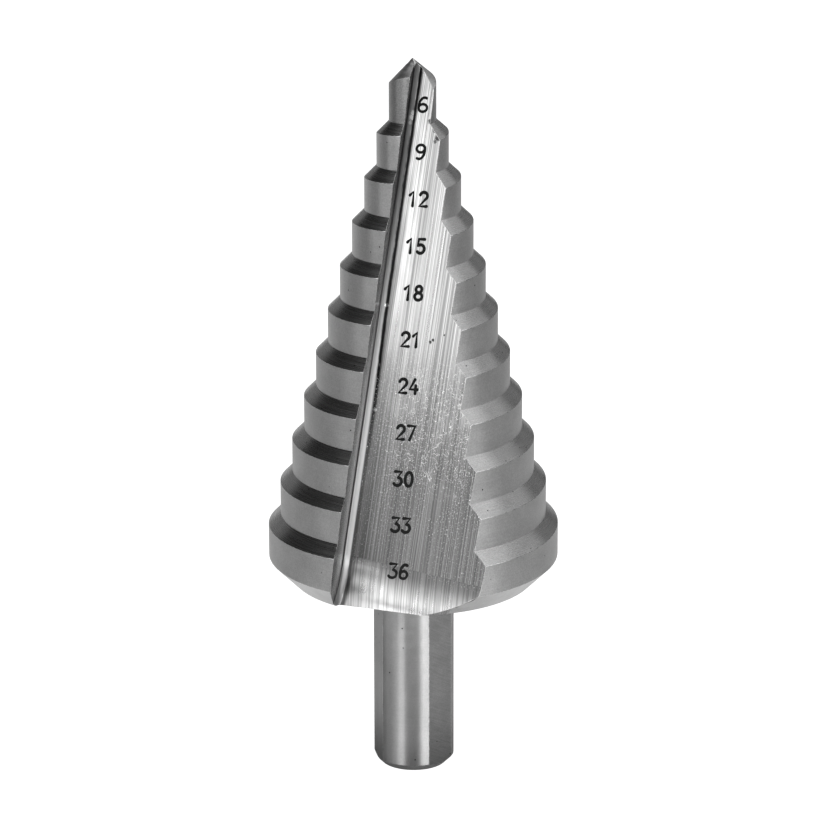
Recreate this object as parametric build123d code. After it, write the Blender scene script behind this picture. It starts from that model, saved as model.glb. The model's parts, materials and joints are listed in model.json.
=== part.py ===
from build123d import *
import math
import os

# A step drill, ground from one bar of tool steel.
# It stands on its shank end: the origin is the centre of that end, +Z runs up the axis to the tip.
# Millimetres and degrees. An azimuth is counted from the front (-Y) towards +X.

# shank
shank_diameter = 10.0
shank_length = 24.7
shank_chamfer = 0.95
flat_count = 3
flat_depth = 0.415
flat_length = 21.5
flat_azimuth = 46.0

# steps
smallest_diameter = 6.0
diameter_increase = 3.0
step_count = 11
step_pitch = 5.5
shoulder_height = 1.5
largest_step_length = 7.3
point_length = 8.75
back_bevel_height = 3.0
back_bevel_width = 3.0

# relief of the two lands behind their cutting edges
edge_azimuth = -33.0
land_half_angle = 58.5
radial_relief = 0.135
axial_relief = 0.40
land_split_azimuth = 15.0

# point
point_half_angle = 47.0
point_tilt = 13.8
point_low_azimuth = -167.0

# flutes
root_azimuth = -47.87
root_tilt = 11.24
root_crossing_below_tip = 3.98
rake_turn = 37.2
flute_angle = 74.6
root_radius = 0.8
runout_start_height = 29.94
runout_radius = 7.5

# worked out from the sizes above
shank_radius = shank_diameter / 2
largest_radius = (smallest_diameter + diameter_increase * (step_count - 1)) / 2
shoulder_width = diameter_increase / 2
largest_edge_height = shank_length + largest_step_length
tip_height = largest_edge_height + step_pitch * (step_count - 2) + point_length
land_half_arc = math.radians(land_half_angle)
land_centre = edge_azimuth - land_half_angle
mean_drop = axial_relief * land_half_arc
mean_loss = radial_relief * land_half_arc
land_offset = mean_loss / math.sin(land_half_arc)
overlap = 1.0
far = 2 * tip_height


def outward(azimuth):
    """Level direction that points out from the axis at this azimuth."""
    angle = math.radians(azimuth)
    return Vector(math.sin(angle), -math.cos(angle), 0)


up = Vector(0, 0, 1)
high_side = outward(land_centre + 90)
land_axis = high_side * land_offset


def step_radius(index):
    """Radius of a step at its cutting edge. Step 0 is the smallest."""
    return (smallest_diameter + diameter_increase * index) / 2


def edge_height(index):
    """Height of the upper corner of a step at its cutting edge."""
    return largest_edge_height + step_pitch * (step_count - 1 - index)


def land_cylinder(radius, bottom, top):
    """Turned length of a step, on the axis that its land was ground about."""
    place = Pos(land_axis.X, land_axis.Y, bottom)
    return place * Cylinder(radius, top - bottom, align=(Align.CENTER, Align.CENTER, Align.MIN))


def shoulder_cone(radius, height, depth):
    """Cone that leaves a step its sloped shoulder, tilted so that the shoulder drops behind its edge."""
    slope = shoulder_width / shoulder_height
    middle_radius = radius - shoulder_width / 2
    tilt = math.asin(mean_drop / (middle_radius * math.sin(land_half_arc)))
    axis = up * math.cos(tilt) - high_side * math.sin(tilt)
    rise = shoulder_height + overlap
    cone = Cone(radius + depth * slope, radius - rise * slope, depth + rise)
    seat = Plane(origin=land_axis + up * height, x_dir=outward(land_centre + 180).cross(axis), z_dir=axis)
    return seat * Pos(0, 0, (rise - depth) / 2) * cone


def step(index):
    """One step with its sloped shoulder, down to a little inside the next larger step."""
    radius = step_radius(index) - mean_loss
    height = edge_height(index)
    length = largest_step_length if index == step_count - 1 else step_pitch
    bottom = height - length - overlap
    blank = land_cylinder(radius, bottom, height + shoulder_height + overlap)
    return blank & shoulder_cone(radius, height - mean_drop, length + 2 * overlap + shoulder_height)


def point():
    """The smallest step, ended by one flank of the split point."""
    radius = step_radius(0) - mean_loss
    blank = land_cylinder(radius, edge_height(1) - overlap, tip_height + overlap)
    tilt = math.radians(point_tilt)
    axis = up * math.cos(tilt) + outward(point_low_azimuth) * math.sin(tilt)
    flank_length = point_length + 2 * step_pitch
    base_radius = flank_length * math.tan(math.radians(point_half_angle))
    flank = Cone(base_radius, 0, flank_length, align=(Align.CENTER, Align.CENTER, Align.MAX))
    return blank & (Plane(origin=(0, 0, tip_height), z_dir=axis) * flank)


def half_head():
    """All steps of one land, kept on its own side of the axis."""
    head = point()
    for index in range(1, step_count):
        head += step(index)
    side = Plane(origin=(0, 0, 0), x_dir=outward(land_split_azimuth), z_dir=up)
    return head & (side * Box(far, far, far, align=(Align.CENTER, Align.MAX, Align.MIN)))


def turned_limit():
    """Everything above the back face and inside the back bevel, both turned before the relief was ground."""
    back_radius = largest_radius - back_bevel_width
    reach = 2 * back_bevel_width
    rise = reach * back_bevel_height / back_bevel_width
    with BuildPart() as limit:
        with BuildSketch(Plane.XZ):
            with BuildLine():
                Polyline(
                    (0, shank_length),
                    (back_radius, shank_length),
                    (back_radius + reach, shank_length + rise),
                    (back_radius + reach, far),
                    (0, far),
                    close=True,
                )
            make_face()
        revolve(axis=Axis.Z)
    return limit.part


def flute_cutter():
    """What the grinding wheel takes out: a straight V with a round root, along the taper, with a run-out."""
    tilt = math.radians(root_tilt)
    crossing = up * (tip_height - root_crossing_below_tip)
    down_root = outward(root_azimuth) * math.sin(tilt) - up * math.cos(tilt)
    out_of_root = outward(root_azimuth) * math.cos(tilt) + up * math.sin(tilt)
    across_root = out_of_root.cross(down_root)

    def wall_direction(turn):
        angle = math.radians(turn)
        return out_of_root * math.cos(angle) + across_root * math.sin(angle)

    rake = wall_direction(rake_turn)
    floor = wall_direction(rake_turn + flute_angle)
    start = (crossing.Z - runout_start_height) / math.cos(tilt)

    end = start + runout_radius

    with BuildPart() as wheel:
        with BuildSketch(Plane(origin=crossing, x_dir=down_root, z_dir=floor * -1)):
            with BuildLine():
                Line((-far, 0), (start, 0))
                TangentArc((start, 0), (end, runout_radius), tangent=(1, 0))
                Polyline((end, runout_radius), (end, far), (-far, far), (-far, 0))
            make_face()
        extrude(amount=far, both=True)

    rake_normal = rake.cross(down_root)
    floor_normal = down_root.cross(floor)
    flute_side = Plane(origin=crossing, x_dir=down_root, z_dir=rake_normal)
    block = Box(4 * far, 4 * far, 2 * far, align=(Align.CENTER, Align.CENTER, Align.MIN))
    cutter = wheel.part & (flute_side * block)

    def in_root(edge):
        from_crossing = edge.position_at(0.5) - crossing
        on_rake = abs(from_crossing.dot(rake_normal)) < 0.001
        return on_rake and from_crossing.dot(floor_normal) < runout_radius / 2

    return fillet(cutter.edges().filter_by(in_root), root_radius)


def shank():
    """Round shank with three driving flats for the chuck jaws and a full round neck below the head."""
    body = Cylinder(shank_radius, shank_length + overlap, align=(Align.CENTER, Align.CENTER, Align.MIN))
    body = chamfer(body.edges().group_by(Axis.Z)[0], shank_chamfer)
    for turn in range(flat_count):
        azimuth = flat_azimuth + turn * 360 / flat_count
        seat = Plane(origin=outward(azimuth) * (shank_radius - flat_depth), x_dir=outward(azimuth), z_dir=up)
        body -= seat * Box(shank_radius, shank_diameter, flat_length, align=(Align.MIN, Align.CENTER, Align.MIN))
    return body


half = half_head()
head = (half + half.rotate(Axis.Z, 180)) & turned_limit()
cutter = flute_cutter()
head = head - cutter - cutter.rotate(Axis.Z, 180)
drill = head + shank()

os.makedirs("parts", exist_ok=True)
export_step(drill, "parts/step_drill.step")
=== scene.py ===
import json
import math

import bmesh
import bpy
from mathutils import Euler, Matrix, Quaternion, Vector
from mathutils.bvhtree import BVHTree
from mathutils.interpolate import poly_3d_calc

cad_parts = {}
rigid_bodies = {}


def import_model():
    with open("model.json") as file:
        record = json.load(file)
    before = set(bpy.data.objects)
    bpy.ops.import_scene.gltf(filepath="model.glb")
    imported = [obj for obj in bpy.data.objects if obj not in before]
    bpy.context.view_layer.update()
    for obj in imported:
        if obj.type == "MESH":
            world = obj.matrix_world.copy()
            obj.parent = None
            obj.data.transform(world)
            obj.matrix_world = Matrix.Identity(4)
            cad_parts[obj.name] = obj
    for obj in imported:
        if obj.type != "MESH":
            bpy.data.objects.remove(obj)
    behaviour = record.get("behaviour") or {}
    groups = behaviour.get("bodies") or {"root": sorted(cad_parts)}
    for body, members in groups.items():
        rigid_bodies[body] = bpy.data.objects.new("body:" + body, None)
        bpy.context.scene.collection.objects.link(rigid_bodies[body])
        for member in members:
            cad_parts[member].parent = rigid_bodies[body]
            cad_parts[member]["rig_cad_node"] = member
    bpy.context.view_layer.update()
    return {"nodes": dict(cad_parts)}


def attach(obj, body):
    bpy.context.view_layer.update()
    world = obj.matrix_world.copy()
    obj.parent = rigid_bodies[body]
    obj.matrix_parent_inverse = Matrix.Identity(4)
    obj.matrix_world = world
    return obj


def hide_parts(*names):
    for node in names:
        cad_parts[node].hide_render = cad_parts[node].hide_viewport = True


# Step drill of ground high speed steel. Lengths in the dictionaries are millimetres, angles are degrees.
# An azimuth is counted from the front (-Y) towards +X.

mm = 0.001
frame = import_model()
print("frame loaded")


def linearColour(code):
    parts = [int(code[i : i + 2], 16) / 255 for i in (1, 3, 5)]
    return [c / 12.92 if c <= 0.04045 else ((c + 0.055) / 1.055) ** 2.4 for c in parts] + [1.0]


def fill(material, node, values):
    # a value is a setting of the node, or the number or link for the input of that name or place
    for name, value in values.items():
        if isinstance(value, bpy.types.NodeSocket):
            material.node_tree.links.new(value, node.inputs[name])
        elif isinstance(name, str) and hasattr(node, name):
            setattr(node, name, value)
        else:
            node.inputs[name].default_value = value


def addNode(material, kind, values=None, output=0):
    node = material.node_tree.nodes.new("ShaderNode" + kind)
    fill(material, node, values or {})
    return node.outputs[output]


def newMaterial(name, values):
    material = bpy.data.materials.new(name)
    material.use_nodes = True
    shader = material.node_tree.nodes["Principled BSDF"]
    fill(material, shader, values)
    return material, shader


def metres(lengths):
    return [length * mm for length in lengths]


def outward(azimuth):
    angle = math.radians(azimuth)
    return Vector((math.sin(angle), -math.cos(angle), 0))


def deselectAll():
    if bpy.context.mode != "OBJECT":
        bpy.ops.object.mode_set(mode="OBJECT")
    bpy.ops.object.select_all(action="DESELECT")


def makeActive(thing):
    deselectAll()
    thing.select_set(True)
    bpy.context.view_layer.objects.active = thing


# the flute's planes, as ground: the root line crosses the axis near the tip and leans out towards the shank
flute = {
    "rootAzimuth": -47.87,
    "rootTilt": 11.24,
    "crossingHeight": 86.27,
    "rakeTurn": 37.2,
    "floorTurn": 111.8,
    "rootRadius": 0.8,
    "runoutStartHeight": 29.94,
    "runoutRadius": 7.5,
}
tilt = math.radians(flute["rootTilt"])
crossing = Vector((0, 0, flute["crossingHeight"])) * mm
downRoot = outward(flute["rootAzimuth"]) * math.sin(tilt) - Vector((0, 0, 1)) * math.cos(tilt)
outOfRoot = outward(flute["rootAzimuth"]) * math.cos(tilt) + Vector((0, 0, 1)) * math.sin(tilt)
acrossRoot = outOfRoot.cross(downRoot)
runoutStart = (flute["crossingHeight"] - flute["runoutStartHeight"]) / math.cos(tilt)  # along the root


def wallDirection(turn):
    angle = math.radians(turn)
    return outOfRoot * math.cos(angle) + acrossRoot * math.sin(angle)


rakeDirection = wallDirection(flute["rakeTurn"])
floorDirection = wallDirection(flute["floorTurn"])
rakeNormal = rakeDirection.cross(downRoot)  # out of the metal, into the flute
floorNormal = downRoot.cross(floorDirection)
halfTurn = Matrix.Rotation(math.pi, 3, "Z")
filletReach = flute["rootRadius"] / math.tan(math.radians(flute["floorTurn"] - flute["rakeTurn"]) / 2)
wallLean = 1 / math.tan(math.radians(flute["floorTurn"] - flute["rakeTurn"]))


def wallTurn(across, normal, rear):
    # turns x, y, z into along the flute, across the wall, and out of the metal; for the rake the last
    # points into the metal, so that the three stay right-handed
    turn = Matrix((downRoot, across, normal)).transposed()
    if rear:
        turn = halfTurn @ turn
    return turn.to_euler()


# Every finish is the same hardened high speed steel, bare and ground. What changes is the wheel that cut it:
# the grain's direction and spacing, how deep it is, and how dull the surface is between the scratches.
finishes = {
    "landGround": {  # cylindrical grinding: fine rings, a soft upright sheen
        "colour": "#a8a8a8",
        "roughness": 0.36,
        "spread": 0.7,
        "spreadTurn": 0.25,
        "grain": (14, 14, 0.16),
        "grainTone": 0.05,
        "grainBump": 0.06,
        "grit": 0.09,
        "pits": 2.1,
        "pitShare": 0.03,
    },
    "tipGround": {  # the smallest land, darker than the other lands
        "colour": "#929292",
        "roughness": 0.38,
        "spread": 0.7,
        "spreadTurn": 0.25,
        "grain": (14, 14, 0.16),
        "grainTone": 0.07,
        "grainBump": 0.06,
        "grit": 0.12,
        "pits": 2.1,
        "pitShare": 0.03,
    },
    "shoulderGround": {  # the wheel's corner: close rings, a little rougher
        "colour": "#a0a0a0",
        "roughness": 0.28,
        "spread": 0.0,
        "spreadTurn": 0.25,
        "grain": (10, 10, 0.14),
        "grainTone": 0.03,
        "grainBump": 0.02,
        "grit": 0.08,
        "pits": 1.2,
        "pitShare": 0.05,
    },
    "pointGround": {  # the point is ground last, by a dry wheel: duller than the shoulders
        "colour": "#c2c2c2",
        "roughness": 0.42,
        "spread": 0.0,
        "spreadTurn": 0.0,
        "grain": (1.5, 1.5, 0.14),
        "grainTone": 0.06,
        "grainBump": 0.05,
        "grit": 0.10,
        "pits": 1.2,
        "pitShare": 0.05,
    },
    "shankTurned": {  # turned, hardened and polished: bright upright bands
        "colour": "#b4b4b4",
        "roughness": 0.42,
        "spread": 1.0,
        "spreadTurn": 0.25,
        "grain": (12, 12, 0.20),
        "grainTone": 0.04,
        "grainBump": 0.05,
        "grit": 0.04,
        "pits": 2.0,
        "pitShare": 0.03,
    },
    "backTurnedPaintedLight": {  # turned in one chucking with the back face, finer than the rest; its light colour is painted light, for the bright floor it mirrors
        "colour": "#d4d4d4",
        "roughness": 0.32,
        "spread": 0.4,
        "spreadTurn": 0.25,
        "grain": (14, 14, 0.2),
        "grainTone": 0.04,
        "grainBump": 0.05,
        "grit": 0.03,
        "pits": 2.0,
        "pitShare": 0.03,
    },
    "endTurnedPaintedShade": {  # the chamfer on the shank's end, left as turned: dull, and darker than the shank as painted shade, for the shadowed floor under the drill that it mirrors
        "colour": "#a4a4a4",
        "roughness": 0.50,
        "spread": 0.0,
        "spreadTurn": 0.0,
        "grain": (12, 12, 0.14),
        "grainTone": 0.06,
        "grainBump": 0.10,
        "grit": 0.05,
        "pits": 2.0,
        "pitShare": 0.03,
    },
    "flatGround": {  # ground by hand on a belt: slanting scratches
        "colour": "#8c8c8c",
        "roughness": 0.38,
        "spread": 0.3,
        "spreadTurn": 0.1,
        "turn": Euler((0.0, math.radians(38), 0.0)),
        "grain": (2.5, 2.5, 0.13),
        "grainTone": 0.10,
        "grainBump": 0.20,
        "grit": 0.05,
        "pits": 1.6,
        "pitShare": 0.04,
    },
    "edgeWearAndHighlight": {  # rubbed smooth by cutting, and its lighter colour also paints a highlight: a thin bright line along the edges
        "colour": "#bcbcbc",
        "roughness": 0.28,
        "spread": 0.0,
        "spreadTurn": 0.0,
        "grain": (0.5, 0.5, 0.5),
        "grainTone": 0.25,
        "grainBump": 0.05,
        "grit": 0.05,
        "pits": 0.5,
        "pitShare": 0.06,
    },
}


stepInputs = ("Value", "From Min", "From Max", "To Min", "To Max")
noiseBounds = (0.3, 0.7)  # most of a noise lies between these
streakBounds = (0.4, 0.6)  # closer together, so that a streak has a clear edge
noiseRoughness = 0.6
bumpHeight = 0.02
shared = {"cloud": 3.0, "cloudTone": 0.06, "grit": 0.16, "dullSwing": 0.12}


def product(material, *factors):
    # multiplies numbers, links and smooth steps; a step is a value, where it starts and ends,
    # and what it goes from and to
    total = None
    for factor in factors:
        if isinstance(factor, tuple):
            step = {"interpolation_type": "SMOOTHSTEP", **dict(zip(stepInputs, factor))}
            factor = addNode(material, "MapRange", step)
        if total is None:
            total = factor
        else:
            total = addNode(material, "Math", {"operation": "MULTIPLY", 0: total, 1: factor})
    return total


def swing(noise, depth, middle=1.0, bounds=noiseBounds):
    # the step that takes a noise from below the middle value to above it
    return noise, *bounds, middle * (1 - depth), middle * (1 + depth)


def streakTone(noise, depth):
    return swing(noise, depth, bounds=streakBounds)


def stretchedNoise(material, place, cell, detail, turn=(0, 0, 0)):
    spacing = {"vector_type": "TEXTURE", "Vector": place, "Rotation": turn, "Scale": cell}
    at = addNode(material, "Mapping", spacing)
    look = {"Vector": at, "Scale": 1.0, "Detail": detail, "Roughness": noiseRoughness}
    return addNode(material, "TexNoise", look, "Fac")


def pitStep(material, place, spacing, share):
    # a small black pit in the middle of each cell
    away = addNode(material, "TexVoronoi", {"Vector": place, "Scale": 1 / spacing}, "Distance")
    return away, share, share * 2


def tinted(material, colour, tone):
    values = {"data_type": "RGBA", "blend_type": "MULTIPLY", 0: 1.0, 6: linearColour(colour), 7: tone}
    return addNode(material, "Mix", values, 2)


def bumped(material, height, strength):
    return addNode(material, "Bump", {"Strength": strength, "Distance": bumpHeight * mm, "Height": height})


def newSteel(name, look):
    values = {"Metallic": 1.0, "Anisotropic": look["spread"], "Anisotropic Rotation": look["spreadTurn"]}
    return newMaterial(name, values)


def groundSteel(name, look):
    material, shader = newSteel(name, look)
    place = addNode(material, "TexCoord", output="Object")
    turn = look.get("turn", (0, 0, 0))
    grain = stretchedNoise(material, place, metres(look["grain"]), detail=4.0, turn=turn)
    cloud = stretchedNoise(material, place, metres([shared["cloud"]] * 3), detail=3.0)
    grit = stretchedNoise(material, place, metres([shared["grit"]] * 3), detail=2.0)
    tone = product(
        material,
        swing(grain, look["grainTone"]),
        swing(cloud, shared["cloudTone"]),
        streakTone(grit, look["grit"]),
        pitStep(material, place, look["pits"] * mm, look["pitShare"]),
    )
    values = {
        "Base Color": tinted(material, look["colour"], tone),
        "Roughness": product(material, swing(grain, shared["dullSwing"], look["roughness"])),
        "Normal": bumped(material, grain, look["grainBump"]),
    }
    fill(material, shader, values)
    return material



# The flute is cut in one pass of a coarse wheel, so its streaks run its whole length and up the run-out.
# The floor beside the root near the tip is painted lighter, as painted light. Halfway down chips have
# hammered it, which leaves bright dots and curved scratches. The root is painted dark, as painted shade.
floorLook = {
    "colour": "#b4b4b4",
    "roughness": 0.30,
    "dullSwing": 0.15,
    "spread": 0.9,
    "spreadTurn": 0.0,
    "wideStreak": (90, 1.2, 4),
    "wideTone": 0.08,
    "streak": (60, 0.30, 4),
    "streakTone": 0.20,
    "hairStreak": (40, 0.13, 4),
    "hairTone": 0.26,
    "streakBump": 0.25,
    # painted light: the floor beside the root near the tip is lighter
    "paintedRootLight": {"across": (1.0, 2.6), "along": (10, 22), "gain": 0.16},
    # painted shade: the floor darkens towards the shank, most away from the root
    "paintedShadeToShank": {"along": (24, 48), "across": (2.0, 7.0), "left": (0.60, 0.42)},
    # painted light: the fillet is dark near the tip and bright towards the shank
    "fillet": {"reach": (0.50, 0.62), "along": (8, 50), "tone": (0.24, 1.55), "roughness": 0.48},
    "filletWidens": {"along": (30, 46), "to": 1.22, "runout": (57, 60), "left": 0.6},
    "runout": {
        "blend": 0.02,
        "dull": 0.7,
        "reach": 5.2,
        # painted light: the run-out is lighter towards the rim, and lighter beside the root
        "tone": (0.30, 1.80),
        "across": (1.5, 6.0),
        "paintedLightAcross": (1.2, 1.0),
        "lean": 0.6,
        "streak": (14, 0.20, 4),
        "streakTone": 0.24,
    },
    # painted shade: a dark wedge beside the fillet in the run-out
    "runoutShade": {
        "across": (0.75, 1.0, 1.2, 1.8),
        "drift": (58, 64, -0.15),
        "wobble": 0.1,
        "depth": 0.0,
        "fades": (58.6, 60.4),
        "left": 0.8,
    },
    "hammered": {
        "along": (28, 38),
        "fades": (46, 58),
        "left": 0.4,
        "onFlat": (0.02, 0.05),
        "patch": (5, 4, 4),
        "patchNoise": (0.32, 0.50),
        "duller": 0.12,
        "bump": 0.8,
    },
    "dot": {"edge": (0.6, 1.2), "chanceBlend": 0.15},
    "dots": [
        {"spacing": 0.26, "chance": 0.55, "size": (0.08, 0.20), "gain": 0.5},
        {"spacing": 0.60, "chance": 0.60, "size": (0.07, 0.13), "gain": 2.0},
    ],
    "specks": {"cell": 0.20, "noise": (0.56, 0.70), "gain": 0.9},
    "scratches": {
        "shifts": ((0, 0, 0), (37, 11, 5)),
        "bend": 0.75,
        "width": 0.013,
        "broken": 0.9,
        "brokenNoise": (0.47, 0.53),
        "along": (30, 36),
        "fades": (44, 50),
        "across": (2.5, 6.0),
        "gain": 1.5,
    },
    # painted shade: a dark wandering band in the root
    "paintedRootShade": {
        "across": (0.50, 0.66, 0.84, 1.18),
        "drift": (26, 42, 0.26),
        "wobble": 0.18,
        "depth": 0.97,
        "fades": (35, 50),
        "left": 0.10,
    },
    # painted shade: a dark line in the crease between the rake wall and the floor
    "corner": {"reach": (0.02, 0.08), "left": 0.10},
}
# The rake is smoother than the floor and mirrors more. Its tone has painted shade in a dark line where the
# root begins, and painted light growing towards the shank.
rakeLook = {
    "colour": "#cccccc",
    "roughness": 0.20,
    "dullSwing": 0.15,
    "spread": 0.4,
    "spreadTurn": 0.0,
    "streak": (40, 0.18, 2),
    "streakTone": 0.10,
    # painted light: the rake grows lighter towards the shank
    "paintedLightDownRake": {"along": (2, 40), "tone": (0.75, 0.85)},
    # painted shade: a dark line on the rake where the root begins
    "line": {
        "across": (filletReach - 0.20, filletReach, filletReach + 0.55, filletReach + 1.0),
        "drift": (28, 44, 0.10),
        "wobble": 0.1,
        "depth": 0.40,
        "fades": (26, 44),
        "left": 0.74,
    },
}
lineWander = (1.5, 0.5, 0.5)


def fluteCoordinates(material, across, normal, rear):
    # millimetres along the root from its crossing, across the wall, and out of it
    values = {
        "vector_type": "TEXTURE",
        "Vector": addNode(material, "TexCoord", output="Object"),
        "Location": crossing,
        "Rotation": wallTurn(across, normal, rear),
        "Scale": (mm, mm, mm),
    }
    at = addNode(material, "Mapping", values)
    return at, *addNode(material, "SeparateXYZ", {"Vector": at}).node.outputs


def darkLine(material, at, across, along, look):
    # a band of painted shade along the flute that wanders and drifts, as the share of the tone that it leaves
    edges, (start, end, amount) = look["across"], look["drift"]
    noise = stretchedNoise(material, at, lineWander, detail=3.0)
    wander = addNode(material, "Math", {"operation": "SUBTRACT", 0: noise, 1: 0.5})
    wander = product(material, wander, look["wobble"])
    drift = product(material, (along, start, end, 0.0, amount))
    shift = addNode(material, "Math", {"operation": "ADD", 0: wander, 1: drift})
    place = addNode(material, "Math", {"operation": "SUBTRACT", 0: across, 1: shift})
    rise, fall = (place, *edges[:2]), (place, *edges[2:], 1.0, 0.0)
    line = product(material, rise, fall, (along, *look["fades"], look["depth"], look["left"]))
    return addNode(material, "Math", {"operation": "SUBTRACT", 0: 1.0, 1: line})


def hammerDots(material, at, look):
    # round dents of mixed size, some cells left empty
    cells = addNode(material, "TexVoronoi", {"Vector": at, "Scale": 1 / look["spacing"]}).node.outputs
    chance = addNode(material, "SeparateColor", {"Color": cells["Color"]})
    size = product(material, (chance, look["chance"], 1.0, *look["size"]))
    depth = addNode(material, "Math", {"operation": "DIVIDE", 0: cells["Distance"], 1: size})
    there = (chance, look["chance"], look["chance"] + look["chanceBlend"])
    return product(material, (depth, *look["edge"], look["gain"], 0.0), there)


def curvedScratches(material, at, look):
    # thin arcs in short lengths: level lines of two slow noises
    lines = 0.0
    for shift in look["shifts"]:
        values = {"vector_type": "TEXTURE", "Vector": at, "Location": shift, "Scale": [look["bend"]] * 3}
        moved = addNode(material, "Mapping", values)
        noise = addNode(material, "TexNoise", {"Vector": moved, "Scale": 1.0, "Detail": 0.5}, "Fac")
        level = addNode(material, "Math", {"operation": "SUBTRACT", 0: noise, 1: 0.5})
        level = addNode(material, "Math", {"operation": "ABSOLUTE", 0: level})
        line = product(material, (level, 0.0, look["width"], 1.0, 0.0))
        lines = addNode(material, "Math", {"operation": "MAXIMUM", 0: lines, 1: line})
    broken = stretchedNoise(material, at, [look["broken"]] * 3, detail=1.0)
    return product(material, lines, (broken, *look["brokenNoise"]))


# dents and chips where they show in the front flute: along, across, out of the floor, size, brightness
nicks = [
    (3.2, 0.50, 0.23, 0.60, 2.4),
    (2.6, 0.58, 0.15, 0.50, 2.4),
    (3.9, 0.45, 0.27, 0.45, 2.0),
    (26.2, 0.74, 0.06, 0.45, 6.0),
    (39.1, 1.10, 0.0, 0.45, 4.0),
    (29.50, 7.10, 0.0, 0.36, 0.1),
    (29.20, 7.42, 0.0, 0.36, 0.1),
    (28.30, 8.80, 0.0, 0.24, 0.2),
    (3.3, 2.9, 0.0, 0.55, 0.15),
    (4.3, 3.7, 0.0, 0.50, 0.25),
    (5.1, 4.2, 0.0, 0.70, 0.15),
    (5.6, 3.9, 0.0, 0.45, 0.3),
    (36.4, 12.3, 0.0, 0.8, 1.7),
]
nickLook = {"grain": 0.10, "ragged": 0.9, "edge": (0.8, 1.1)}


def addNicks(material, at, tone):
    rough = stretchedNoise(material, at, [nickLook["grain"]] * 3, detail=1.0)
    inner, outer = nickLook["edge"]
    for along, across, out, size, bright in nicks:
        centre = {"operation": "DISTANCE", 0: at, 1: (along, across, out)}
        away = addNode(material, "VectorMath", centre, "Value")
        ragged = product(material, rough, size * nickLook["ragged"])
        reach = addNode(material, "Math", {"operation": "ADD", 0: away, 1: ragged})
        tone = product(material, tone, (reach, size * inner, size * outer, bright, 1.0))
    return tone


def leaned(material, across, out, lean):
    # the distance across, from a line that leans over the floor
    return addNode(material, "Math", {"operation": "SUBTRACT", 0: across, 1: product(material, out, lean)})


def plainFloor(material, at, along, across, streaks, look):
    # the streaks, with painted light beside the root near the tip and painted shade darkening them towards
    # the shank
    part = look["paintedRootLight"]
    upper = (along, *part["along"], 1.0, 0.0)
    gain = product(material, (across, *part["across"], part["gain"], 0.0), upper)
    rootLightGain = addNode(material, "Math", {"operation": "ADD", 0: gain, 1: 1.0})
    part = look["paintedShadeToShank"]
    reached = product(material, (along, *part["along"]))
    left = product(material, (across, *part["across"], *part["left"]))
    paintedShadeToShank = addNode(material, "Mix", {"data_type": "FLOAT", 0: reached, 2: 1.0, 3: left})
    names = ("wideTone", "streakTone", "hairTone")
    tones = [streakTone(noise, look[name]) for noise, name in zip(streaks, names)]
    return product(material, *tones, rootLightGain, paintedShadeToShank)


def runoutFloor(material, at, along, across, out, fromWall, look):
    # the round end of the flute, where the streaks slant; painted light rises towards the rim and beside the
    # root, and a painted shade wedge lies by the fillet
    part = look["runout"]
    slanted = addNode(material, "CombineXYZ", {0: along, 1: leaned(material, across, out, part["lean"])})
    return product(
        material,
        streakTone(stretchedNoise(material, slanted, part["streak"], detail=2.0), part["streakTone"]),
        (along, runoutStart + part["dull"], runoutStart + part["reach"], *part["tone"]),
        (across, *part["across"], *part["paintedLightAcross"]),
        darkLine(material, at, fromWall, along, look["runoutShade"]),
    )


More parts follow.
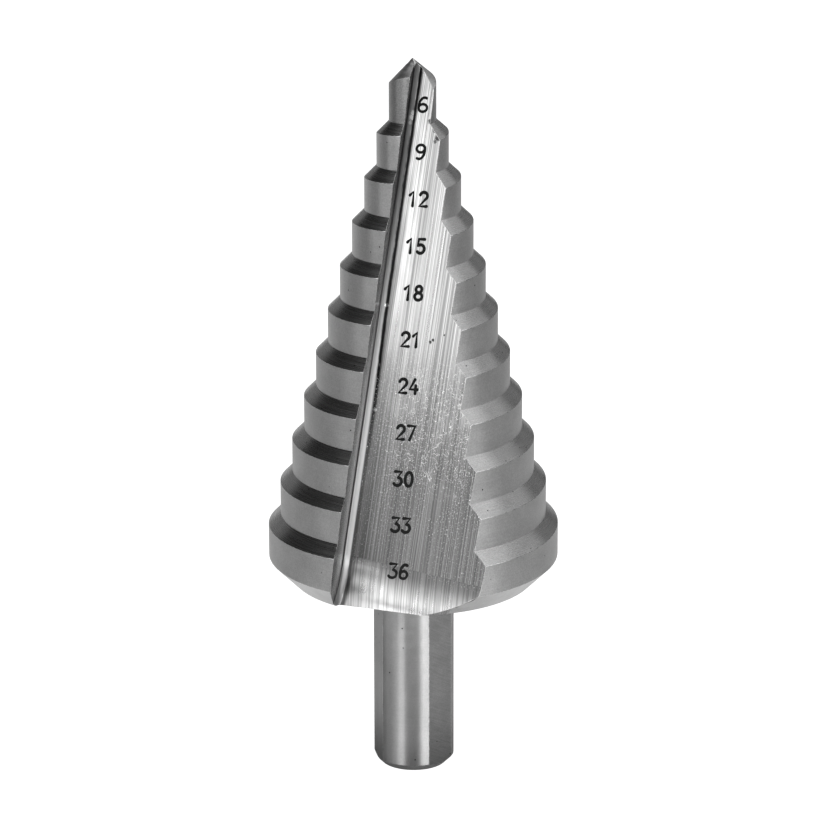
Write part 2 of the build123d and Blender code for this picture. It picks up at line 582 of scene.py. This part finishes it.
def floorSteel(name, look, rear):
    material, shader = newSteel(name, look)
    at, along, across, out = fluteCoordinates(material, floorDirection, floorNormal, rear)
    # the rake wall leans over the floor, so the root's bands are measured from the wall
    fromWall = leaned(material, across, out, wallLean)
    wide = stretchedNoise(material, at, look["wideStreak"], detail=2.0)
    streak = stretchedNoise(material, at, look["streak"], detail=2.0)
    hair = stretchedNoise(material, at, look["hairStreak"], detail=1.0)
    plain = plainFloor(material, at, along, across, (wide, streak, hair), look)
    runout = runoutFloor(material, at, along, across, out, fromWall, look)
    blend = look["runout"]["blend"]
    onRunout = product(material, (along, runoutStart - blend, runoutStart + blend))
    tone = addNode(material, "Mix", {"data_type": "FLOAT", 0: onRunout, 2: plain, 3: runout})

    part, widens = look["fillet"], look["filletWidens"]
    widened = product(material, (along, *widens["along"], 1.0, widens["to"]))
    reach = addNode(material, "Math", {"operation": "DIVIDE", 0: fromWall, 1: widened})
    inFillet = product(material, (reach, *part["reach"], 1.0, 0.0))
    fades = (along, *widens["runout"], 1.0, widens["left"])
    # painted light: the fillet is lighter towards the shank and fades in the run-out
    filletPaintedLight = product(material, (along, *part["along"], *part["tone"]), fades)
    tone = addNode(material, "Mix", {"data_type": "FLOAT", 0: inFillet, 2: tone, 3: filletPaintedLight})
    # painted shade: a dark line in the crease beside the wall, and a dark band in the root
    part = look["corner"]
    corner = (fromWall, *part["reach"], part["left"], 1.0)
    tone = product(material, tone, darkLine(material, at, across, along, look["paintedRootShade"]), corner)

    part = look["hammered"]
    hammered = product(
        material,
        (along, *part["along"]),
        (along, *part["fades"], 1.0, part["left"]),
        (out, *part["onFlat"], 1.0, 0.0),
        (stretchedNoise(material, at, part["patch"], detail=3.0), *part["patchNoise"]),
    )
    part = look["specks"]
    specks = stretchedNoise(material, at, [part["cell"]] * 3, detail=2.0)
    dots = product(material, (specks, *part["noise"], 0.0, part["gain"]))
    for layer in look["dots"]:
        more = hammerDots(material, at, {**look["dot"], **layer})
        dots = addNode(material, "Math", {"operation": "MAXIMUM", 0: dots, 1: more})
    dots = product(material, dots, hammered)
    part = look["scratches"]
    fades = (along, *part["fades"], 1.0, 0.0)
    where = product(material, (along, *part["along"]), fades, (across, *part["across"]))
    scratches = product(material, product(material, curvedScratches(material, at, part), where), part["gain"])
    for more in (dots, scratches):
        tone = addNode(material, "Math", {"operation": "ADD", 0: tone, 1: more})
    if not rear:
        tone = addNicks(material, at, tone)

    part = look["hammered"]
    dull = product(material, swing(wide, look["dullSwing"], look["roughness"]))
    duller = product(material, hammered, part["duller"])
    dull = addNode(material, "Math", {"operation": "ADD", 0: dull, 1: duller})
    inRoot = {"data_type": "FLOAT", 0: inFillet, 2: dull, 3: look["fillet"]["roughness"]}
    dents = product(material, dots, part["bump"])
    height = addNode(material, "Math", {"operation": "ADD", 0: streak, 1: dents})
    values = {
        "Base Color": tinted(material, look["colour"], tone),
        "Roughness": addNode(material, "Mix", inRoot),
        "Normal": bumped(material, height, look["streakBump"]),
    }
    fill(material, shader, values)
    return material


def rakeSteel(name, look, rear):
    material, shader = newSteel(name, look)
    at, along, across = fluteCoordinates(material, rakeDirection, -rakeNormal, rear)[:3]
    streak = stretchedNoise(material, at, look["streak"], detail=3.0)
    # painted light towards the shank and painted shade at the root, in the rake's tone
    part = look["paintedLightDownRake"]
    tone = product(
        material,
        streakTone(streak, look["streakTone"]),
        (along, *part["along"], *part["tone"]),
        darkLine(material, at, across, along, look["line"]),
    )
    # seen at a flat angle the rake would mirror everything: the tint, which carries the painted shade and
    # light, dulls that too
    values = {
        "Base Color": tinted(material, look["colour"], tone),
        "Specular Tint": tone,
        "Roughness": product(material, swing(streak, look["dullSwing"], look["roughness"])),
    }
    fill(material, shader, values)
    return material


# black oxide burnt into the steel by a laser: matt, a little grey where the beam was weak
oxide = {"colour": "#0c0c0c", "specular": 0.2, "cloud": 0.5, "tone": (0.5, 1.8), "roughness": (0.55, 0.75)}


def laserOxide():
    material, shader = newMaterial("laserOxide", {"Metallic": 0.0, "Specular IOR Level": oxide["specular"]})
    place = addNode(material, "TexCoord", output="Object")
    cloud = stretchedNoise(material, place, metres([oxide["cloud"]] * 3), detail=3.0)
    tone = product(material, (cloud, *noiseBounds, *oxide["tone"]))
    dull = product(material, (cloud, *noiseBounds, *oxide["roughness"]))
    fill(material, shader, {"Base Color": tinted(material, oxide["colour"], tone), "Roughness": dull})
    return material


materials = {name: groundSteel(name, look) for name, look in finishes.items()}
for side, rear in (("", False), ("Rear", True)):
    materials["floorGround" + side] = floorSteel("floorGround" + side, floorLook, rear)
    materials["rakeGround" + side] = rakeSteel("rakeGround" + side, rakeLook, rear)
slotOrder = list(materials)
print("materials made")

# the drill's body: the solid's own faces, merged, with each face in the finish of the wheel that cut it
body = {
    "mergeDistance": 0.0005,
    "flatAngle": 0.2,
    "planeReach": 0.01,
    "wallLimit": 0.999,
    "flatLimit": 0.9999,
    "smoothAngle": 25,
    "edgeAngle": 20,
    "edgeRadius": 0.03,
    "edgeSegments": 2,
    "normalInset": 0.02,
    "shankLength": 24.7,
    "shankMargin": 0.05,
    "shankRadius": 5.0,
    "flatInset": 0.3,
    "endLean": 0.3,
    "uprightLean": 0.1,
    "shoulderLean": 0.2,
    "pointHeight": 84.5,
    "tipLandFoot": 82.8,
}
source = frame["nodes"]["step_drill"]
makeActive(source)
bpy.ops.object.duplicate()
drill = bpy.context.view_layer.objects.active
drill.name = "drill_ground"
if "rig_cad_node" in drill:
    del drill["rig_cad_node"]
drill.parent = None
makeActive(drill)
bpy.ops.object.mode_set(mode="EDIT")
bpy.ops.mesh.select_all(action="SELECT")
bpy.ops.mesh.remove_doubles(threshold=body["mergeDistance"] * mm)
bpy.ops.mesh.customdata_custom_splitnormals_clear()
bpy.ops.mesh.dissolve_limited(angle_limit=math.radians(body["flatAngle"]))
bpy.ops.object.mode_set(mode="OBJECT")
drill.data.materials.clear()
for name in slotOrder:
    drill.data.materials.append(materials[name])


def finishOf(face):
    centre, normal = face.center, face.normal
    radius = math.hypot(centre.x, centre.y)
    if centre.z < (body["shankLength"] - body["shankMargin"]) * mm:
        if normal.z < -body["endLean"]:
            return "endTurnedPaintedShade"
        upright = abs(normal.z) < body["uprightLean"]
        flat = upright and radius < (body["shankRadius"] - body["flatInset"]) * mm
        return "flatGround" if flat else "shankTurned"
    for side, turned in (("", False), ("Rear", True)):
        at = (halfTurn @ centre if turned else centre) - crossing
        out = halfTurn @ normal if turned else normal
        onRake, onFloor = [
            out.dot(wall) > body["wallLimit"] and abs(at.dot(wall)) < body["planeReach"] * mm
            for wall in (rakeNormal, floorNormal)
        ]
        if onRake:
            return "rakeGround" + side
        if onFloor or (at.dot(floorNormal) > 0 and at.dot(rakeNormal) > 0):
            return "floorGround" + side
    if normal.z < -body["shoulderLean"]:
        return "backTurnedPaintedLight"
    if normal.z > body["shoulderLean"]:
        return "pointGround" if centre.z > body["pointHeight"] * mm else "shoulderGround"
    return "tipGround" if centre.z > body["tipLandFoot"] * mm else "landGround"


for face in drill.data.polygons:
    face.material_index = slotOrder.index(finishOf(face))

# the outer corners get a small worn radius, and flat walls keep their own normal beside it
shape = bmesh.new()
shape.from_mesh(drill.data)
weight = shape.edges.layers.float.new("bevel_weight_edge")
for edge in shape.edges:
    if edge.is_manifold and edge.is_convex and edge.calc_face_angle() > math.radians(body["edgeAngle"]):
        edge[weight] = 1.0
shape.to_mesh(drill.data)
shape.free()
makeActive(drill)
bpy.ops.object.modifier_add(type="BEVEL")
rounding = drill.modifiers[-1]
rounding.limit_method = "WEIGHT"
rounding.width = body["edgeRadius"] * mm
rounding.segments = body["edgeSegments"]
rounding.use_clamp_overlap = False
rounding.face_strength_mode = "FSTR_ALL"
rounding.material = slotOrder.index("edgeWearAndHighlight")
bpy.ops.object.modifier_apply(modifier=rounding.name)
bpy.ops.object.shade_smooth_by_angle(angle=math.radians(body["smoothAngle"]))
bpy.ops.object.modifier_add(type="WEIGHTED_NORMAL")
drill.modifiers[-1].keep_sharp = True
drill.modifiers[-1].use_face_influence = True
bpy.ops.object.modifier_apply(modifier=drill.modifiers[-1].name)


def surfaceNormals(thing, exact):
    # flat walls keep their face's normal; each corner of a curved one takes the solid's own normal,
    # read a little inside the face so that neighbours don't mix
    tree = BVHTree.FromPolygons([v.co for v in exact.vertices], [p.vertices for p in exact.polygons])
    normals = [corner.vector.copy() for corner in thing.corner_normals]
    walls = [floorNormal, rakeNormal, halfTurn @ floorNormal, halfTurn @ rakeNormal]
    for face in thing.polygons:
        if slotOrder[face.material_index] == "edgeWearAndHighlight":
            continue
        flat = any(abs(face.normal.dot(wall)) > body["flatLimit"] for wall in walls)
        for corner in face.loop_indices:
            if flat:
                normals[corner] = face.normal.copy()
                continue
            place = thing.vertices[thing.loops[corner].vertex_index].co
            inside = place + (face.center - place).normalized() * body["normalInset"] * mm
            found = exact.polygons[tree.find_nearest(inside)[2]]
            shares = poly_3d_calc([exact.vertices[i].co for i in found.vertices], place)
            parts = [exact.corner_normals[i].vector * share for i, share in zip(found.loop_indices, shares)]
            normals[corner] = sum(parts, Vector()).normalized()
    thing.normals_split_custom_set(normals)


surfaceNormals(drill.data, source.data)
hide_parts("step_drill")
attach(drill, "root")
print("drill body made, faces", len(drill.data.polygons))

# the diameters, marked by laser in the front flute: one stroke width, round ends
numbers = {
    "first": 6,
    "increase": 3,
    "count": 11,
    "along": 1.5,
    "alongPitch": 5.645,
    "across": 1.66,
    "acrossPitch": 0.57,
    "height": 1.98,
    "advance": 0.71,
    "widen": 1.14,
    "widenSingle": 1.32,
    "digitWidth": 0.56,
    "stroke": 0.205,
    "strokeSingle": 0.175,
    "baselineRise": 0.15,
    "stemLean": -0.055,
    "proud": 0.012,
    "arcStep": 15,
    "endAngles": (5, 35, 65),
    "strokeSides": 2,
    "closeReach": 0.001,
    "mergeDistance": 0.0005,
    "smoothAngle": 60,
}
# a stroke goes from point to point, or along an arc: centre, radii, start and end angle
hookSix = (0.34, 0.40, 0.27, 0.53, 68, 180)
digitStrokes = {
    "0": [[(0.28, 0.50, 0.21, 0.43, 0, 360)]],
    "1": [[(0.10, 0.72), (0.30, 0.93), (0.30, 0.07)]],
    "2": [[(0.28, 0.70, 0.21, 0.23, 165, -35), (0.07, 0.07), (0.49, 0.07)]],
    "3": [[(0.08, 0.93), (0.46, 0.93), (0.25, 0.58), (0.25, 0.325, 0.24, 0.255, 85, -145)]],
    "4": [[(0.33, 0.93), (0.07, 0.32), (0.52, 0.32)], [(0.40, 0.56), (0.40, 0.07)]],
    "5": [[(0.46, 0.93), (0.13, 0.93), (0.10, 0.54), (0.26, 0.33, 0.22, 0.26, 125, -140)]],
    "6": [[(0.28, 0.30, 0.21, 0.23, 0, 360)], [hookSix, (0.07, 0.30)]],
    "7": [[(0.07, 0.93), (0.48, 0.93), (0.22, 0.07)]],
    "8": [[(0.28, 0.73, 0.17, 0.20, 0, 360)], [(0.28, 0.29, 0.21, 0.22, 0, 360)]],
}


def strokePoints(stroke):
    points = []
    for piece in stroke:
        if len(piece) == 2:
            points.append(Vector(piece))
            continue
        cx, cy, rx, ry, start, end = piece
        steps = max(2, round(abs(end - start) / numbers["arcStep"]))
        for i in range(steps + 1):
            angle = math.radians(start + (end - start) * i / steps)
            points.append(Vector((cx + rx * math.cos(angle), cy + ry * math.sin(angle))))
    return points


def roundEnd(points, radius):
    # points past the end of a stroke, with their share of its width, so that it closes in a half circle
    outwards = (points[0] - points[1]).normalized()
    angles = [math.radians(a) for a in numbers["endAngles"]]
    return [(points[0] + outwards * radius * math.cos(a), math.sin(a)) for a in angles]


def addStroke(curve, points, closed):
    radius = curve.bevel_depth
    path = [(p, 1.0) for p in points]
    if closed:
        path.pop()
    else:
        path = roundEnd(points, radius) + path + roundEnd(points[::-1], radius)[::-1]
    spline = curve.splines.new("POLY")
    spline.points.add(len(path) - 1)
    for point, (at, share) in zip(spline.points, path):
        point.co = (at.x, at.y, 0, 1)
        point.radius = share
    spline.use_cyclic_u = closed


def floorPoint(x, y, z):
    # a point of the mark, given as right, up and proud of the floor in mm from the root's crossing
    past = -y - runoutStart
    rise = flute["runoutRadius"] - math.sqrt(flute["runoutRadius"] ** 2 - past**2) if past > 0 else 0.0
    return crossing + (floorDirection * x - downRoot * y + floorNormal * (z + rise)) * mm


marks = []
for index in range(numbers["count"]):
    text = str(numbers["first"] + numbers["increase"] * index)
    widen = numbers["widenSingle" if len(text) == 1 else "widen"]
    stroke = numbers["strokeSingle" if len(text) == 1 else "stroke"]
    width = numbers["digitWidth"] * widen + numbers["advance"] * (len(text) - 1)
    for place, digit in enumerate(text):
        bpy.ops.curve.primitive_bezier_curve_add()
        mark = bpy.context.object
        mark.data.splines.clear()
        mark.data.dimensions = "3D"
        mark.data.bevel_depth = stroke / 2
        mark.data.bevel_resolution = numbers["strokeSides"]
        mark.data.use_fill_caps = True
        for path in digitStrokes["6" if digit == "9" else digit]:
            points = strokePoints(path)
            if digit == "9":
                points = [Vector((numbers["digitWidth"] - p.x, 1 - p.y)) for p in points]
            points = [Vector((p.x * widen, p.y)) for p in points]
            addStroke(mark.data, points, (points[0] - points[-1]).length < numbers["closeReach"])
        makeActive(mark)
        bpy.ops.object.convert(target="MESH")
        right = numbers["across"] + numbers["acrossPitch"] * index
        down = numbers["along"] + numbers["alongPitch"] * index
        for vertex in mark.data.vertices:
            x = (vertex.co.x + numbers["advance"] * place - width / 2) * numbers["height"]
            y = (vertex.co.y - 0.5) * numbers["height"]
            level = vertex.co.z / (stroke / 2) * numbers["proud"]
            vertex.co = floorPoint(
                right + x + y * numbers["stemLean"], y + x * numbers["baselineRise"] - down, level
            )
        marks.append(mark)
deselectAll()
for mark in marks:
    mark.select_set(True)
bpy.context.view_layer.objects.active = marks[0]
bpy.ops.object.join()
stepNumbers = bpy.context.object
stepNumbers.name = "step_numbers"
bpy.ops.object.mode_set(mode="EDIT")
bpy.ops.mesh.select_all(action="SELECT")
bpy.ops.mesh.remove_doubles(threshold=numbers["mergeDistance"] * mm)
bpy.ops.mesh.normals_make_consistent(inside=False)
bpy.ops.object.mode_set(mode="OBJECT")
bpy.ops.object.shade_smooth_by_angle(angle=math.radians(numbers["smoothAngle"]))
stepNumbers.data.materials.clear()
stepNumbers.data.materials.append(laserOxide())
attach(stepNumbers, "root")
print("numbers marked, faces", len(stepNumbers.data.polygons))

# the camera at the photograph's viewing angle
camera = {
    "elevation": 17.93,
    "distance": 540.64,
    "targetHeight": 45.46,
    "lens": 191.66,
    "sensor": 36,
    "clip": (0.01, 20),
    "shiftX": 0.00102,
    "roll": -0.1146,
}
up = math.radians(camera["elevation"])
target = Vector((0, 0, camera["targetHeight"])) * mm
back = Vector((0, -math.cos(up), math.sin(up)))
bpy.ops.object.camera_add(location=target + back * camera["distance"] * mm)
view = bpy.context.object
view.rotation_mode = "QUATERNION"
view.rotation_quaternion = Euler((math.pi / 2 - up, 0, 0)).to_quaternion() @ Quaternion(
    (0, 0, 1), math.radians(camera["roll"])
)
view.data.sensor_width = camera["sensor"]
view.data.lens = camera["lens"]
view.data.shift_x = camera["shiftX"]
view.data.clip_start, view.data.clip_end = camera["clip"]
bpy.context.scene.camera = view

# a pale matt floor that glows: white to the camera; in reflections, painted pools of light near the drill, in
# front, to the right and behind it, most on the left behind, and a painted shadow round the drill's foot
studio = {
    "floorSize": 8000,
    "floorColour": "#a0a0a0",
    "floorRoughness": 0.9,
    "floorSpecular": 0.1,
    "seenGlow": 1.0,
    "glow": 0.18,
    "nearGlow": {"distance": (50, 260), "gain": 0.265},
    "backGlow": {"distance": (80, 260), "gain": 0.2, "side": (-45, 45), "share": (1.6, 0.5)},
    "frontGlow": {"at": (10, -46, 0), "distance": (26, 46), "gain": 0.55},
    "sideGlow": {"at": (200, -168, 0), "distance": (90, 260), "gain": 0.10},
    "footShade": {"distance": (6, 26), "left": 0.15},
    "worldColour": "#ffffff",
    "worldStrength": 0.03,
}
values = {
    "Base Color": linearColour(studio["floorColour"]),
    "Roughness": studio["floorRoughness"],
    "Specular IOR Level": studio["floorSpecular"],
    "Emission Color": linearColour(studio["worldColour"]),
}
paleFloor, floorShader = newMaterial("paleFloor", values)
onFloor = addNode(paleFloor, "TexCoord", output="Object")
fromDrill = addNode(paleFloor, "VectorMath", {"operation": "LENGTH", 0: onFloor}, "Value")
sideways, rearwards = addNode(paleFloor, "SeparateXYZ", {"Vector": onFloor}).node.outputs[:2]
part = studio["nearGlow"]
glow = product(paleFloor, (fromDrill, *metres(part["distance"]), part["gain"], 0.0))
glows = []
for part in (studio["frontGlow"], studio["sideGlow"]):
    centre = {"operation": "DISTANCE", 0: onFloor, 1: metres(part["at"])}
    away = addNode(paleFloor, "VectorMath", centre, "Value")
    glows.append(product(paleFloor, (away, *metres(part["distance"]), part["gain"], 0.0)))
part = studio["backGlow"]
behind = (rearwards, *metres(part["distance"]), 0.0, part["gain"])
glows.append(product(paleFloor, behind, (sideways, *metres(part["side"]), *part["share"])))
for more in (*glows, studio["glow"]):
    glow = addNode(paleFloor, "Math", {"operation": "ADD", 0: glow, 1: more})
part = studio["footShade"]
glow = product(paleFloor, glow, (fromDrill, *metres(part["distance"]), part["left"], 1.0))
seen = product(paleFloor, addNode(paleFloor, "LightPath", output="Is Camera Ray"), studio["seenGlow"])
glow = addNode(paleFloor, "Math", {"operation": "MAXIMUM", 0: glow, 1: seen})
fill(paleFloor, floorShader, {"Emission Strength": glow})
deselectAll()
bpy.ops.mesh.primitive_plane_add(size=studio["floorSize"] * mm, location=(0, 0, 0))
ground = bpy.context.object
ground.name = "studio_floor"
ground.data.materials.append(paleFloor)

# softboxes: azimuth, elevation, distance, width, height, and the light that their face gives,
# with the white floor near 1
lights = {
    "front_left_low": (-35, 10, 2400, 800, 1000, 3.3),
    "front_left_side": (-56, 10, 2400, 700, 1000, 1.6),
    "front_left_high": (-42, 44, 2400, 1000, 2000, 2.6),
    "top_box": (-70, 80, 2400, 850, 850, 3.0),
    "right_top_box": (74, 60, 2400, 1600, 1500, 1.6),
    "right_side_box": (115, 35, 2400, 1300, 1100, 0.75),
    "right_front_box": (48, 16, 2400, 2200, 1400, 3.0),
    "right_front_card": (28, 0, 450, 190, 88, 7.0),
    "left_card": (-74, 0, 450, 150, 88, 1.5),
    "rear_right_box": (150, 14, 2400, 1400, 800, 0.3),
    "rear_left_box": (-152, 11, 2400, 1500, 800, 0.28),
}
for name, (azimuth, elevation, distance, width, height, bright) in lights.items():
    rise = math.radians(elevation)
    direction = outward(azimuth) * math.cos(rise) + Vector((0, 0, 1)) * math.sin(rise)
    place = target + direction * distance * mm
    bpy.ops.object.light_add(type="AREA", location=place)
    lamp = bpy.context.object
    lamp.name = name
    lamp.data.shape = "RECTANGLE"
    lamp.data.size = width * mm
    lamp.data.size_y = height * mm
    lamp.data.energy = bright * math.pi * lamp.data.size * lamp.data.size_y
    lamp.rotation_euler = (target - place).to_track_quat("-Z", "Y").to_euler()
    lamp.visible_camera = False

world = bpy.context.scene.world or bpy.data.worlds.new("studio")
bpy.context.scene.world = world
world.use_nodes = True
world.node_tree.nodes["Background"].inputs["Color"].default_value = linearColour(studio["worldColour"])
world.node_tree.nodes["Background"].inputs["Strength"].default_value = studio["worldStrength"]
bpy.context.scene.view_settings.view_transform = "Standard"
print("camera and light set")
